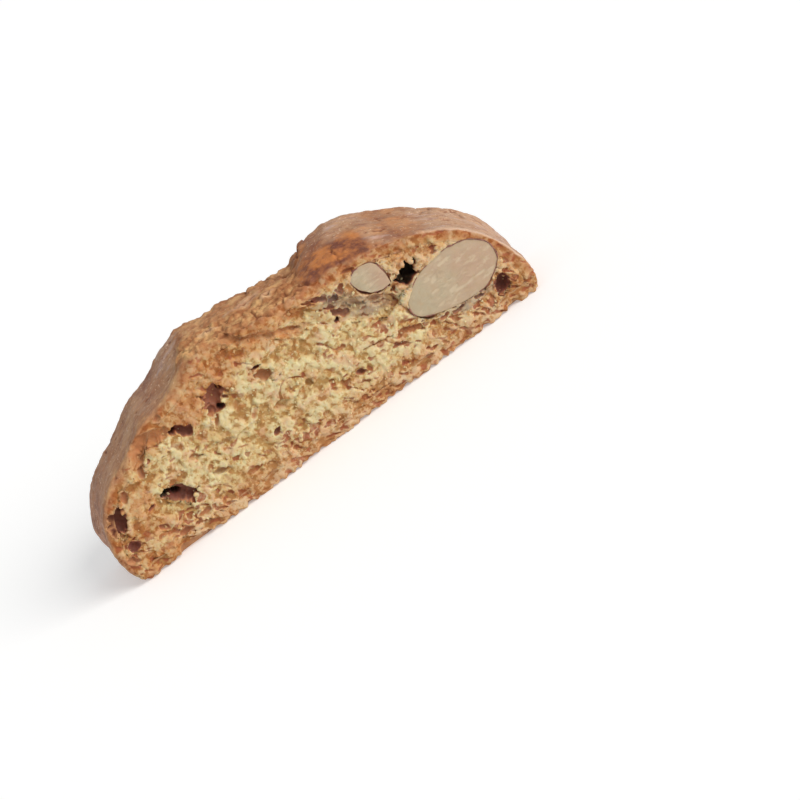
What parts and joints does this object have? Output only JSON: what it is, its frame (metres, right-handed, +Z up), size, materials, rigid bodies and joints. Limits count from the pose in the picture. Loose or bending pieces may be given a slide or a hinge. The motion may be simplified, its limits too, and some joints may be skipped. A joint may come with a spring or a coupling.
{
  "type": "almond biscotti slice",
  "caption": "Twice-baked almond biscuit slice with a domed crust, a flat base to rest on, and cut faces of open crumb with sliced almonds.",
  "frame": {"origin": "middle of the flat baked base, on the surface that the slice stands on", "axes": "+Z up to the domed crust, -Y out of the cut face that shows the almonds, +X along the slice towards the almonds"},
  "size_m": [0.1004, 0.022, 0.0328],
  "materials": {
    "baked_dough": "matte, granular crumb with a browned crust",
    "almond_flesh": "satin",
    "almond_skin": "matte, thin and wrinkled"
  },
  "bodies": {
    "root": {"dough": "baked_dough", "almond_large": "almond_flesh", "almond_small": "almond_flesh"}
  },
  "joints": []
}
